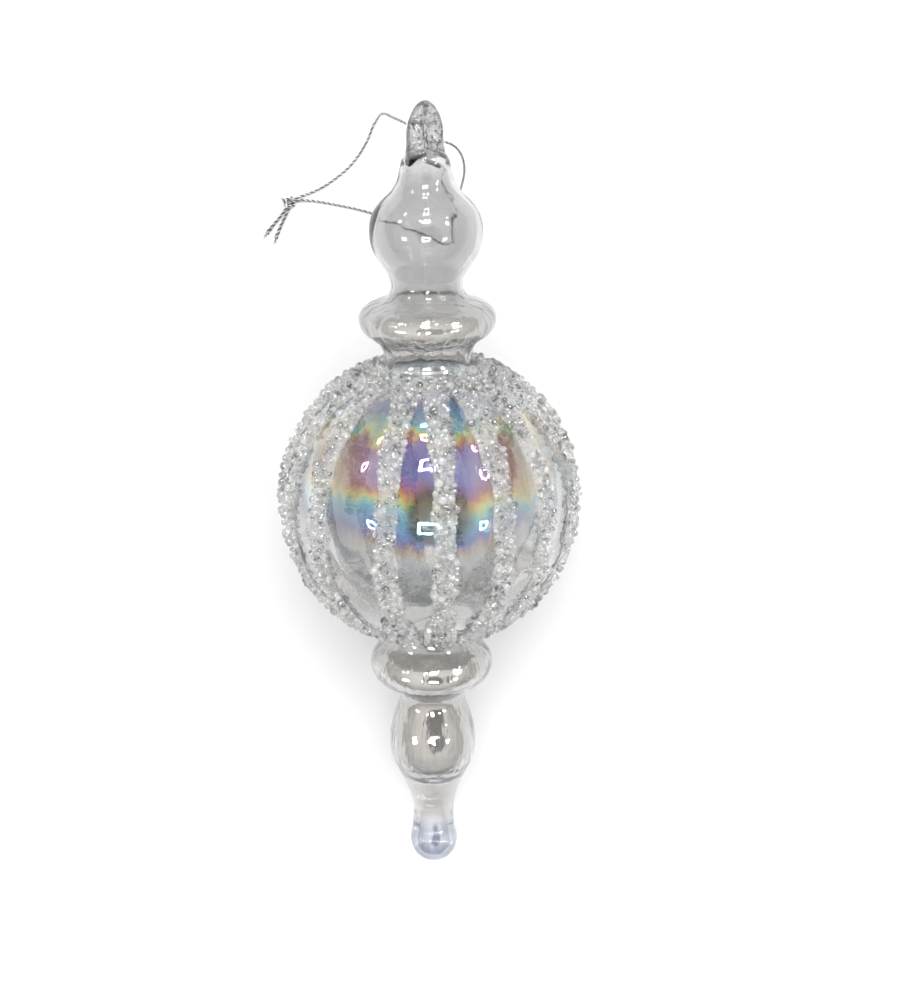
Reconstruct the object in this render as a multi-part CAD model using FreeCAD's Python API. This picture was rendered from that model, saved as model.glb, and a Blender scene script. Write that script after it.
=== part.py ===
import FreeCAD, Part
import math
import os

# An icicle-shaped blown-glass hanging ornament with glued bead bands and a thread loop.
#
# Row frame: millimetres, +Z up, with the ornament lying on a level surface at Z = 0. It rests on the
# bead bands of its big ball and on its knob, so its axis climbs towards the hanging eye, in +Y.
# The origin is under the middle of the box of the ornament without its thread.
#
# Hanging frame: the glass and the beads are built about the origin with +Z towards the eye and -Y
# towards the side that faces up once the ornament lies down. lay() then puts them in the row frame.
# A station is a pair (radius, height) on the glass of revolution.

V = FreeCAD.Vector

# Glass
BALL_R = 42.4            # outside of the bare glass ball
NECK_ANGLE = 18.5        # polar angle, in degrees, where each neck runs into the ball
WALL = 1.2               # blown wall of the ball and of the hollows above it
LOWER_WALL = 1.9         # thicker wall of the lower collar and the drop
CAVITY_TOP = 100.2       # solid glass above this, under the eye
CAVITY_BOTTOM = -91.5    # solid glass below this, in the waist and the knob
KNOB_R = 7.3
KNOB_Z = -113.6
KNOB_ANGLE = 75.0        # polar angle, in degrees, where the waist runs into the knob

UPPER_STATIONS = [       # from the top down to the ball: shoulder, bulb, neck, collar, neck
    (0.0, 101.9), (3.9, 101.5), (6.2, 99.8), (7.1, 97.1), (7.9, 93.5), (9.6, 90.3), (12.4, 87.6),
    (15.1, 83.9), (16.1, 78.7), (15.2, 73.7), (12.6, 69.2), (10.5, 65.6), (10.2, 63.2),
    (11.5, 60.5), (15.7, 58.6), (19.6, 54.7), (18.0, 50.2), (14.4, 47.4), (12.8, 44.4)]
LOWER_STATIONS = [       # from the ball down to the knob: collar, neck, drop, waist
    (12.8, -44.0), (14.2, -46.0), (17.1, -48.5), (18.5, -52.7), (16.0, -57.3), (11.5, -60.3),
    (9.9, -63.5), (10.8, -67.7), (12.7, -74.2), (13.2, -80.2), (12.2, -85.2), (10.0, -89.9),
    (7.3, -96.7), (6.1, -102.7), (6.4, -107.6)]

# Hanging eye: a rod of glass bent into a pointed loop and melted on to the top
EYE_ROD = 5.2
EYE_SPAN = 8.0           # between the centres of the two legs
EYE_TOP = 114.4
EYE_ARCH = 5.6           # height of the half ellipse that joins the legs
EYE_FOOT = 95.5          # the legs are trimmed where they meet the glass above this height
EYE_TURN = 50.0          # degrees about the axis from +X to the back leg

# Glue and beads
GLUE = 0.5               # thickness of each glue line on the ball
BEAD_R = 44.4            # outside of the bead crust
BAND_W = 6.4
RING_Z = 37.5            # height where the bands end and the rings begin
RING_HOLE_R = 14.2       # the rings stop here, round the necks
REST_BAND = 11.2         # degrees from the bottom line to each of the two bands it rests on
BAND_ANGLES = [          # degrees about the axis from the side that faces up, + towards +X
    -69.0, -47.4, -16.7, 5.6, 28.9, 49.8, 72.3, 94.0, 116.5, 142.5,
    180.0 - REST_BAND, 180.0 + REST_BAND, 213.0, 234.0, 252.5, 270.5]

# Thread loop, in the row frame, from the inside of the eye to the knot
THREAD_D = 0.75
LEFT_ROUTE = [
    (0.0, 101.3, 77.7), (1.3, 100.6, 82.6), (-2.8, 102.9, 87.0), (-7.2, 106.2, 82.0),
    (-9.3, 109.4, 71.5), (-11.4, 115.5, 48.5), (-13.2, 120.8, 25.0), (-14.1, 123.2, 12.0),
    (-14.6, 124.5, 5.0), (-15.2, 124.6, 1.0), (-16.6, 122.6, 0.4), (-17.9, 119.0, 0.4),
    (-20.2, 114.6, 0.4), (-24.2, 109.5, 0.4), (-28.4, 106.0, 0.4), (-33.2, 102.8, 0.4),
    (-37.9, 100.8, 0.6), (-40.9, 99.9, 0.9)]
RIGHT_ROUTE = [
    (0.0, 101.3, 77.7), (-1.5, 102.1, 72.2), (4.2, 102.8, 70.2), (8.2, 102.6, 65.6),
    (10.8, 101.0, 57.5), (11.7, 99.1, 44.5), (11.0, 98.1, 27.0), (9.7, 95.5, 10.0),
    (9.3, 90.9, 1.9), (8.9, 86.4, 0.4), (8.1, 82.6, 0.4), (6.1, 82.2, 0.4), (3.1, 83.9, 0.4),
    (-1.4, 87.1, 0.4), (-6.5, 89.9, 0.4), (-11.6, 92.3, 0.4), (-17.2, 94.5, 0.4),
    (-22.8, 96.1, 0.4), (-28.5, 97.3, 0.4), (-34.0, 98.4, 0.4), (-38.1, 98.9, 0.6),
    (-40.8, 98.9, 0.9)]
LEFT_TAIL = [(-44.0, 97.4, 0.9), (-46.3, 94.2, 0.5), (-49.0, 91.2, 0.4), (-51.0, 88.5, 0.4)]
RIGHT_TAIL = [(-43.4, 97.2, 0.9), (-45.1, 93.8, 0.5), (-46.9, 90.3, 0.4), (-48.3, 86.7, 0.4)]
KNOT_BODY = (-43.7, 98.1, 1.55)     # centre of the knot's round body, and its radius
KNOT_THROAT = (-41.5, 99.2, 1.2)    # where the two halves run into the knot
RUN_SHARE = 0.45                    # share of the shorter run that each bend takes


def resting_pose():
    """Tilt of the axis, in radians, and height of the ball's centre, on the two lowest bands and the knob."""
    half = BAND_W / 2
    tilt = 0.0
    for _ in range(20):
        lean = math.sin(math.radians(REST_BAND)) * math.cos(tilt)
        height = half * lean + math.sqrt((BEAD_R ** 2 - half ** 2) * (1 - lean ** 2))
        tilt = math.asin((height - KNOB_R) / -KNOB_Z)
    return tilt, height


TILT, REST_H = resting_pose()


def middle_y():
    """Middle of the ornament's length along Y, measured from the centre of its ball."""
    turn = math.radians(EYE_TURN)
    bend_z = EYE_TOP - EYE_ROD / 2 - EYE_ARCH
    reach = math.hypot(EYE_ARCH * math.cos(TILT), EYE_SPAN / 2 * math.sin(turn) * math.sin(TILT))
    top = bend_z * math.cos(TILT) + reach + EYE_ROD / 2
    bottom = KNOB_Z * math.cos(TILT) - KNOB_R
    return (top + bottom) / 2


MID_Y = middle_y()


def lay(shape):
    """Move a shape from the hanging frame to the row frame."""
    laid = shape.copy()
    laid.rotate(V(0, 0, 0), V(1, 0, 0), math.degrees(TILT) - 90)
    laid.translate(V(0, -MID_Y, REST_H))
    return laid


# Glass body

def on_circle(radius, centre_z, angle):
    """Station on a circle about the axis point at centre_z, at a polar angle in degrees."""
    a = math.radians(angle)
    return (radius * math.sin(a), centre_z + radius * math.cos(a))


def vec(station):
    return V(station[0], 0, station[1])


def curve(stations, start, end):
    """Smooth edge through stations, with its directions at both ends."""
    spline = Part.BSplineCurve()
    spline.interpolate(Points=[vec(s) for s in stations], InitialTangent=vec(start),
                       FinalTangent=vec(end), Scale=False)
    return spline.toShape()


def arc(radius, centre_z, start, end):
    """Arc edge about the axis point at centre_z, from one polar angle to another, in degrees."""
    stops = [vec(on_circle(radius, centre_z, a)) for a in (start, (start + end) / 2, end)]
    return Part.Arc(*stops).toShape()


def down_circle(angle):
    """Direction of a circle about the axis at a polar angle, in degrees, heading down."""
    a = math.radians(angle)
    return (math.cos(a), -math.sin(a))


def revolve(edges):
    """Solid of revolution of the area that a ring of edges encloses beside the axis."""
    face = Part.Face(Part.Wire(Part.__sortEdges__(edges)))
    return face.revolve(V(0, 0, 0), V(0, 0, 1), 360)


def axis_line(low, high):
    return Part.makeLine(V(0, 0, low), V(0, 0, high))


def inset(stations, wall):
    """Stations moved square to the profile into the glass, without the two end ones."""
    inner = []
    for before, here, after in zip(stations, stations[1:], stations[2:]):
        dr = after[0] - before[0]
        dz = after[1] - before[1]
        length = math.hypot(dr, dz)
        inner.append((here[0] + wall * dz / length, here[1] - wall * dr / length))
    return inner


def outer_profile():
    """Edges of the outside, from the top down to the tip of the knob."""
    neck = on_circle(BALL_R, 0, NECK_ANGLE)
    upper = curve(UPPER_STATIONS + [neck], (1, 0), down_circle(NECK_ANGLE))
    ball = arc(BALL_R, 0, NECK_ANGLE, 180 - NECK_ANGLE)
    lower_neck = on_circle(BALL_R, 0, 180 - NECK_ANGLE)
    waist_end = on_circle(KNOB_R, KNOB_Z, KNOB_ANGLE)
    lower = curve([lower_neck] + LOWER_STATIONS + [waist_end],
                  down_circle(180 - NECK_ANGLE), down_circle(KNOB_ANGLE))
    knob = arc(KNOB_R, KNOB_Z, KNOB_ANGLE, 180)
    return [upper, ball, lower, knob]


def cavity_profile():
    """Edges of the sealed hollow, from its top down to its bottom in the waist."""
    radius = BALL_R - WALL
    neck = on_circle(radius, 0, NECK_ANGLE)
    stations = inset(UPPER_STATIONS + [on_circle(BALL_R, 0, NECK_ANGLE)], WALL)
    stations = [s for s in stations if s[1] < CAVITY_TOP - 2]
    upper = curve([(0, CAVITY_TOP)] + stations + [neck], (1, 0), down_circle(NECK_ANGLE))
    ball = arc(radius, 0, NECK_ANGLE, 180 - NECK_ANGLE)
    lower_neck = on_circle(radius, 0, 180 - NECK_ANGLE)
    stations = inset([on_circle(BALL_R, 0, 180 - NECK_ANGLE)] + LOWER_STATIONS, LOWER_WALL)
    stations = [s for s in stations if s[1] > CAVITY_BOTTOM + 4]
    lower = curve([lower_neck] + stations + [(0, CAVITY_BOTTOM)],
                  down_circle(180 - NECK_ANGLE), (-1, 0))
    return [upper, ball, lower]


def glass_body():
    """Blown glass with its sealed hollow."""
    solid_top = axis_line(CAVITY_TOP, UPPER_STATIONS[0][1])
    solid_tip = axis_line(KNOB_Z - KNOB_R, CAVITY_BOTTOM)
    return revolve(outer_profile() + [solid_tip] + cavity_profile() + [solid_top])


def glass_outside():
    """Everything inside the outer face of the glass."""
    return revolve(outer_profile() + [axis_line(KNOB_Z - KNOB_R, UPPER_STATIONS[0][1])])


def hanging_eye(outside):
    """Pointed loop of glass rod, trimmed to the glass that its legs melt into."""
    turn = math.radians(EYE_TURN)
    half = EYE_SPAN / 2
    bend_z = EYE_TOP - EYE_ROD / 2 - EYE_ARCH
    side = V(half * math.cos(turn), half * math.sin(turn), 0)
    foot, knee = V(0, 0, EYE_FOOT), V(0, 0, bend_z)
    ellipse = Part.Ellipse(knee + V(0, 0, EYE_ARCH), knee + side, knee)
    path = Part.Wire([
        Part.makeLine(foot - side, knee - side),
        Part.ArcOfEllipse(ellipse, -math.pi / 2, math.pi / 2).toShape(),
        Part.makeLine(knee + side, foot + side)])
    loop = sweep(path, foot - side, V(0, 0, 1), EYE_ROD)
    trimmed = loop.cut(outside)
    return max(trimmed.Solids, key=lambda solid: solid.Volume)


# Glue and beads

def shell(inner_r, outer_r):
    return Part.makeSphere(outer_r).cut(Part.makeSphere(inner_r))


def band(inner_r, outer_r, angle):
    """Strip of a shell over one meridian, between the two rings."""
    slab = Part.makeBox(BAND_W, 2 * BEAD_R, 2 * RING_Z, V(-BAND_W / 2, -2 * BEAD_R, -RING_Z))
    strip = shell(inner_r, outer_r).common(slab)
    strip.rotate(V(0, 0, 0), V(0, 0, 1), angle)
    return strip


def ring(inner_r, outer_r, side):
    """Cap of a shell round one neck: side is 1 at the top and -1 at the bottom."""
    axis = V(0, 0, side)
    slab = Part.makeCylinder(outer_r, outer_r, axis * RING_Z, axis)
    hole = Part.makeCylinder(RING_HOLE_R, outer_r, axis * RING_Z, axis)
    return shell(inner_r, outer_r).common(slab).cut(hole)


# Thread

def sweep(path, start, direction, diameter):
    """Round bar along a wire."""
    section = Part.Wire(Part.Circle(start, direction, diameter / 2).toShape())
    return path.makePipeShell([section], True, False)


def rounded_path(points):
    """Wire of straight runs joined by tangent arcs, and its bend radii."""
    pts = [V(*p) for p in points]
    edges = []
    radii = []
    last = pts[0]
    for before, here, after in zip(pts, pts[1:], pts[2:]):
        run_in, run_out = here - before, after - here
        reach = RUN_SHARE * min(run_in.Length, run_out.Length)
        half_turn = run_in.getAngle(run_out) / 2
        radius = reach / math.tan(half_turn)
        start = here - run_in.normalize() * reach
        end = here + run_out.normalize() * reach
        inward = (end - here + (start - here)).normalize()
        middle = here + inward * (radius / math.cos(half_turn) - radius)
        edges.append(Part.makeLine(last, start))
        edges.append(Part.Arc(start, middle, end).toShape())
        radii.append(radius)
        last = end
    edges.append(Part.makeLine(last, pts[-1]))
    return Part.Wire(edges), radii


def thread(name, points):
    """Thread along a route. It prints the length, the volume's match and the bend radii."""
    path, radii = rounded_path(points)
    bar = sweep(path, V(*points[0]), V(*points[1]) - V(*points[0]), THREAD_D)
    expected = math.pi * THREAD_D ** 2 / 4 * path.Length
    print(name, "length %.1f" % path.Length, "volume ratio %.4f" % (bar.Volume / expected),
          "radii", " ".join("%.1f" % r for r in radii))
    return bar


def thread_knot(halves):
    """Overhand knot with its two tails, cut back to the ends of the halves that run into it."""
    lumps = []
    for x, y, radius in (KNOT_BODY, KNOT_THROAT):
        lumps.append(Part.makeSphere(radius, V(x, y, radius)))
    tails = [thread("left_tail", LEFT_TAIL), thread("right_tail", RIGHT_TAIL)]
    return lumps[0].fuse(lumps[1:] + tails).cut(halves).removeSplitter()


def build():
    """All the sub-parts by name, in the row frame."""
    glue_r = BALL_R + GLUE
    hanging = {
        "glass_body": glass_body(),
        "hanging_eye": hanging_eye(glass_outside()),
        "glue_ring_top": ring(BALL_R, glue_r, 1),
        "glue_ring_bottom": ring(BALL_R, glue_r, -1),
        "bead_ring_top": ring(glue_r, BEAD_R, 1),
        "bead_ring_bottom": ring(glue_r, BEAD_R, -1),
    }
    for number, angle in enumerate(BAND_ANGLES, 1):
        hanging["glue_line_%02d" % number] = band(BALL_R, glue_r, angle)
        hanging["bead_band_%02d" % number] = band(glue_r, BEAD_R, angle)
    nodes = {name: lay(shape) for name, shape in hanging.items()}
    left = thread("left_half", LEFT_ROUTE)
    right = thread("right_half", RIGHT_ROUTE)
    nodes["thread_left_half"] = left
    nodes["thread_right_half"] = right
    nodes["thread_knot"] = thread_knot([left, right])
    return nodes


os.makedirs("parts", exist_ok=True)
for node, shape in build().items():
    solids = shape.Solids
    if len(solids) != 1 or not shape.isValid():
        print("check", node, "solids", len(solids), "valid", shape.isValid())
    solids[0].exportStep("parts/" + node + ".step")
print("tilt %.2f degrees, ball height %.2f, middle %.2f" % (math.degrees(TILT), REST_H, MID_Y))
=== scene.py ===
"""Looks of the blown-glass icicle ornament: glass, glued beads, thread loop, floor, light and camera."""
import math
import random

import bmesh
import bpy
import numpy as np
from mathutils import Matrix, Vector, noise


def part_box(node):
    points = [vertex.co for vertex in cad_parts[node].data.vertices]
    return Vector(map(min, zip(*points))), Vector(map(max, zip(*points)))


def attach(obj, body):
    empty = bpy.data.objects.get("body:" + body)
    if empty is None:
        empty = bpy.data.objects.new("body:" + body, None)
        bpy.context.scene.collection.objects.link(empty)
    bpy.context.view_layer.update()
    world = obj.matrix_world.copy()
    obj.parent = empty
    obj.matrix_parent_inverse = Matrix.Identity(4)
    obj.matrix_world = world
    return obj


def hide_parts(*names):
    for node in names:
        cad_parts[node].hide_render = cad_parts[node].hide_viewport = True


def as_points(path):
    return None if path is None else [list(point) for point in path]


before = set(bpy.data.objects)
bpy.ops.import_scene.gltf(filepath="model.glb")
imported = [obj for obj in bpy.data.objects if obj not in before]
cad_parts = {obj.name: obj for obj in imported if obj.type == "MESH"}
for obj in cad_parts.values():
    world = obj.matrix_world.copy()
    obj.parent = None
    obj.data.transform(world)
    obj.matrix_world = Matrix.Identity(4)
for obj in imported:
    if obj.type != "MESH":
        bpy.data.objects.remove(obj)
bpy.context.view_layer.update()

MM = 0.001

# Hanging frame, as in the part's source: the glass and the beads are built about the centre of the
# ball, in millimetres, with +Z towards the eye and -Y towards the side that faces up once it lies down.
TILT = math.radians(18.91)           # the axis climbs this much once the ornament lies on its floor
RING_BOXES = [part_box("bead_ring_top"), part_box("bead_ring_bottom")]
BALL_CENTRE = sum((low + high for low, high in RING_BOXES), Vector()) / 4
LAY = Matrix.Translation(BALL_CENTRE) @ Matrix.Rotation(TILT - math.pi / 2, 4, "X") @ Matrix.Scale(MM, 4)
HANG = LAY.inverted()

# Glass, in mm
BALL_R = 42.4
NECK_ANGLE = 18.5
WALL = 1.2
LOWER_WALL = 1.9
CAVITY_TOP = 100.2
CAVITY_BOTTOM = -91.5
KNOB_R = 7.3
KNOB_Z = -113.6
KNOB_ANGLE = 75.0
UPPER_STATIONS = [
    (0.0, 101.9), (3.9, 101.5), (6.2, 99.8), (7.1, 97.1), (7.9, 93.5), (9.6, 90.3), (12.4, 87.6),
    (15.1, 83.9), (16.1, 78.7), (15.2, 73.7), (12.6, 69.2), (10.5, 65.6), (10.2, 63.2),
    (11.5, 60.5), (15.7, 58.6), (19.6, 54.7), (18.0, 50.2), (14.4, 47.4), (12.8, 44.4)]
LOWER_STATIONS = [
    (12.8, -44.0), (14.2, -46.0), (17.1, -48.5), (18.5, -52.7), (16.0, -57.3), (11.5, -60.3),
    (9.9, -63.5), (10.8, -67.7), (12.7, -74.2), (13.2, -80.2), (12.2, -85.2), (10.0, -89.9),
    (7.3, -96.7), (6.1, -102.7), (6.4, -107.6)]
OUTLINE_STEP = 1.15      # between the rings of the turned mesh
AROUND = 176             # points in each ring of it
EYE_ROD = 5.2
EYE_SPAN = 8.0
EYE_TOP = 114.4
EYE_ARCH = 5.6           # height of the half ellipse that joins the eye's legs
EYE_TAPER = 0.55         # the rod is this much thinner at the top of the bend
EYE_POINT = 0.9          # and the bend is drawn up to a point by this much
EYE_TURN = 50.0

# Glue and beads, in mm
GLUE = 0.5
BAND_W = 6.4
RING_Z = 37.5
RING_HOLE_R = 14.2
REST_BAND = 11.2
BAND_ANGLES = [
    -69.0, -47.4, -16.7, 5.6, 28.9, 49.8, 72.3, 94.0, 116.5, 142.5,
    180.0 - REST_BAND, 180.0 + REST_BAND, 213.0, 234.0, 252.5, 270.5]

# Thread, in mm in the row frame
THREAD_D = 0.75
LEFT_ROUTE = [
    (0.0, 101.3, 77.7), (1.3, 100.6, 82.6), (-2.8, 102.9, 87.0), (-7.2, 106.2, 82.0),
    (-9.3, 109.4, 71.5), (-11.4, 115.5, 48.5), (-13.2, 120.8, 25.0), (-14.1, 123.2, 12.0),
    (-14.6, 124.5, 5.0), (-15.2, 124.6, 1.0), (-16.6, 122.6, 0.4), (-17.9, 119.0, 0.4),
    (-20.2, 114.6, 0.4), (-24.2, 109.5, 0.4), (-28.4, 106.0, 0.4), (-33.2, 102.8, 0.4),
    (-37.9, 100.8, 0.6), (-40.9, 99.9, 0.9)]
RIGHT_ROUTE = [
    (0.0, 101.3, 77.7), (-1.5, 102.1, 72.2), (4.2, 102.8, 70.2), (8.2, 102.6, 65.6),
    (10.8, 101.0, 57.5), (11.7, 99.1, 44.5), (11.0, 98.1, 27.0), (9.7, 95.5, 10.0),
    (9.3, 90.9, 1.9), (8.9, 86.4, 0.4), (8.1, 82.6, 0.4), (6.1, 82.2, 0.4), (3.1, 83.9, 0.4),
    (-1.4, 87.1, 0.4), (-6.5, 89.9, 0.4), (-11.6, 92.3, 0.4), (-17.2, 94.5, 0.4),
    (-22.8, 96.1, 0.4), (-28.5, 97.3, 0.4), (-34.0, 98.4, 0.4), (-38.1, 98.9, 0.6),
    (-40.8, 98.9, 0.9)]
LEFT_TAIL = [(-44.0, 97.4, 0.9), (-46.3, 94.2, 0.5), (-49.0, 91.2, 0.4), (-51.0, 88.5, 0.4)]
RIGHT_TAIL = [(-43.4, 97.2, 0.9), (-45.1, 93.8, 0.5), (-46.9, 90.3, 0.4), (-48.3, 86.7, 0.4)]
KNOT_BODY = (-43.7, 98.1, 1.55)
KNOT_THROAT = (-41.5, 99.2, 1.2)


# Camera: straight above the ball, turned a little so that the eye leans to the left

CAMERA_HEIGHT = 0.5      # metres above the centre of the ball, an assumed distance
CAMERA_ROLL = -0.75      # degrees
CAMERA_LENS = 62.0
CAMERA_SHIFT = (0.0207, 0.0053)
camera = bpy.data.objects.new("camera", bpy.data.cameras.new("camera"))
bpy.context.scene.collection.objects.link(camera)
camera.location = BALL_CENTRE + Vector((0, 0, CAMERA_HEIGHT))
camera.rotation_euler = (0, 0, math.radians(CAMERA_ROLL))
camera.data.lens = CAMERA_LENS
camera.data.shift_x, camera.data.shift_y = CAMERA_SHIFT
camera.data.clip_start = 0.01
bpy.context.scene.camera = camera


# Material nodes

class Nodes:
    """A material's node tree, with short calls to add a node and to link its sockets."""

    def __init__(self, name):
        self.material = bpy.data.materials.new(name)
        self.material.use_nodes = True
        self.tree = self.material.node_tree
        self.tree.nodes.clear()
        self.out = self.add("ShaderNodeOutputMaterial")

    def add(self, kind, settings=None, **inputs):
        """A node with its settings, and inputs given by name: a socket is linked, a value is set."""
        node = self.tree.nodes.new(kind)
        for key, value in (settings or {}).items():
            setattr(node, key, value)
        for key, value in inputs.items():
            self.set(node, key.replace("_", " "), value)
        return node

    def set(self, node, name, value):
        socket = node.inputs[name] if isinstance(name, str) else node.inputs[int(name)]
        if isinstance(value, bpy.types.NodeSocket):
            self.tree.links.new(value, socket)
        else:
            socket.default_value = value

    def math(self, operation, first, second):
        node = self.add("ShaderNodeMath", {"operation": operation})
        self.set(node, 0, first)
        self.set(node, 1, second)
        return node.outputs[0]

    def ramp(self, factor, stops):
        """Colour ramp through (place, colour) stops."""
        node = self.add("ShaderNodeValToRGB", Fac=factor)
        elements = node.color_ramp.elements
        for place, colour in stops[1:-1]:
            elements.new(place)
        for element, (place, colour) in zip(elements, stops):
            element.position = place
            element.color = (*colour, 1)
        return node.outputs["Color"]

    def map(self, value, low, high, to_low, to_high):
        node = self.add("ShaderNodeMapRange", {"interpolation_type": "SMOOTHSTEP"}, Value=value)
        for name, number in (("From Min", low), ("From Max", high), ("To Min", to_low), ("To Max", to_high)):
            self.set(node, name, number)
        return node.outputs["Result"]

    def blend(self, factor, first, second):
        """Colour between two, where the factor goes from 0 to 1."""
        node = self.add("ShaderNodeMix", {"data_type": "RGBA"}, Factor=factor)
        for socket, colour in ((node.inputs[6], first), (node.inputs[7], second)):
            if isinstance(colour, bpy.types.NodeSocket):
                self.tree.links.new(colour, socket)
            else:
                socket.default_value = colour
        return node.outputs[2]

    def by_height(self, height, stops):
        """Value that follows (height, value) stops between the tip and the eye."""
        low, span = stops[0][0], stops[-1][0] - stops[0][0]
        share = self.math("DIVIDE", self.math("SUBTRACT", height, low), span)
        return self.ramp(share, [((z - low) / span, (value,) * 3) for z, value in stops])

    def noise(self, vector, scale, detail=2.0, roughness=0.5):
        node = self.add("ShaderNodeTexNoise", Vector=vector, Scale=scale, Detail=detail, Roughness=roughness)
        return node.outputs["Fac"]

    def stretched(self, vector, scale):
        node = self.add("ShaderNodeMapping", Vector=vector, Scale=scale)
        return node.outputs["Vector"]

    def bump(self, height, strength, distance):
        node = self.add("ShaderNodeBump", Height=height, Strength=strength, Distance=distance)
        return node.outputs["Normal"]

    def place(self):
        """Place in the row frame, in metres."""
        return self.add("ShaderNodeTexCoord").outputs["Object"]

    def hanging_place(self):
        """Place in the hanging frame, in millimetres."""
        node = self.add("ShaderNodeMapping", Vector=self.place(), Location=HANG.translation,
                        Rotation=HANG.to_euler(), Scale=HANG.to_scale())
        return node.outputs["Vector"]

    def principled(self, **inputs):
        return self.add("ShaderNodeBsdfPrincipled", **inputs)

    def show(self, shader):
        self.tree.links.new(shader, self.out.inputs["Surface"])
        return self.material


# Tints that go with the thin film's own colours, from the thinnest film to the thickest
LUSTRE = [
    (0.00, (0.64, 0.64, 0.64)), (0.16, (0.92, 0.91, 0.89)), (0.30, (0.42, 0.47, 0.62)),
    (0.44, (0.42, 0.62, 0.64)), (0.58, (0.78, 0.74, 0.42)), (0.70, (0.72, 0.54, 0.34)),
    (0.82, (0.42, 0.34, 0.34)), (1.00, (0.33, 0.35, 0.45))]
GLOSS = [                                # tint of what each of them mirrors
    (0.00, (0.84, 0.78, 0.69)), (0.16, (0.96, 0.93, 0.90)), (0.30, (0.68, 0.78, 0.96)),
    (0.44, (0.72, 0.94, 0.90)), (0.58, (0.92, 0.88, 0.62)), (0.70, (0.78, 0.62, 0.42)),
    (0.82, (0.54, 0.42, 0.38)), (1.00, (0.52, 0.58, 0.68))]
PALE = (0.74, 0.74, 0.76, 1.0)           # what the coat fades to where it is seen edge on
FILM_MOST = 269.0                        # nanometres
FILM_SHARES = [                          # share of that which gives each lustre colour
    (0.00, 0.0), (0.16, 0.16), (0.30, 0.52), (0.44, 0.62), (0.58, 0.76), (0.70, 0.84), (0.82, 0.90),
    (1.00, 1.0)]
FILM_HEIGHTS = [                         # height on the glass and thickness of the film there, 0 to 1
    (-121.0, 0.34), (-115.0, 0.28), (-108.0, 0.10), (-100.0, 0.0), (-60.0, 0.06), (-9.0, 0.13),
    (-3.0, 0.23), (1.5, 0.32), (6.5, 0.42), (10.8, 0.58), (13.0, 0.72), (15.2, 0.90), (18.0, 1.0),
    (25.5, 0.97), (28.0, 0.62), (31.0, 0.44), (36.0, 0.30), (42.0, 0.16), (52.0, 0.0), (92.0, 0.0),
    (98.0, 0.06), (102.0, 0.06)]
COAT_END = 60.0                          # the glass is bare above this height
UNEVEN_HEIGHTS = [                       # how uneven the outside of the glass is at each height
    (-121.0, 0.30), (-100.0, 0.45), (-60.0, 0.70), (-47.0, 0.60), (-42.0, 0.03), (42.0, 0.03),
    (48.0, 0.55), (58.0, 0.55), (65.0, 0.20), (75.0, 0.07), (102.0, 0.12)]
INSIDE_TONES = [                         # how much light the inner face lets through at each height
    (-92.0, 0.64), (-60.0, 0.68), (-48.0, 0.74), (-42.0, 1.0), (42.0, 1.0), (47.0, 0.74),
    (60.0, 0.68), (90.0, 0.68), (100.0, 0.80)]
COAT_SHARES = [                          # how far the coat hides the glass under it at each height
    (-121.0, 0.26), (-106.0, 0.20), (-92.0, 0.06), (-84.0, 0.12), (-78.0, 0.36), (-64.0, 0.34),
    (-50.0, 0.36), (-45.0, 0.12), (-40.0, 0.06), (42.0, 0.06), (45.0, 0.22), (54.0, 0.30), (60.0, 0.0)]
COAT_EDGE = 0.30                         # and how far at least where it is seen edge on
STREAK_STRETCH = (0.34, 0.34, 0.026)     # the lustre runs in streaks along the axis
CLOUD_SCALE = 0.045
STREAK_SHIFT, CLOUD_SHIFT = 9.0, 12.0    # how far they move the colours up and down, in mm
THIN_FROM, THIN_TO, THIN_SHARE = 9.0, 28.0, 0.76    # the film thins out towards the ball's sides
EDGE_FROM, EDGE_TO = 0.22, 0.60          # facing where the coat starts to fade and has faded
COAT_FADE = 8.0                          # it ends over this height
GLASS_IOR = 1.5
FILM_IOR = 2.1
POLISH = 0.003                           # roughness of the least polished glass


def waves(n, hanging):
    """Swirls and fine ribs along the axis, as blowing and turning leave them in the glass."""
    ribs = n.noise(n.stretched(hanging, (0.55, 0.55, 0.06)), 1.0, 2.0)
    return n.math("ADD", n.noise(hanging, 0.16, 2.0), n.math("MULTIPLY", ribs, 0.7))


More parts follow.
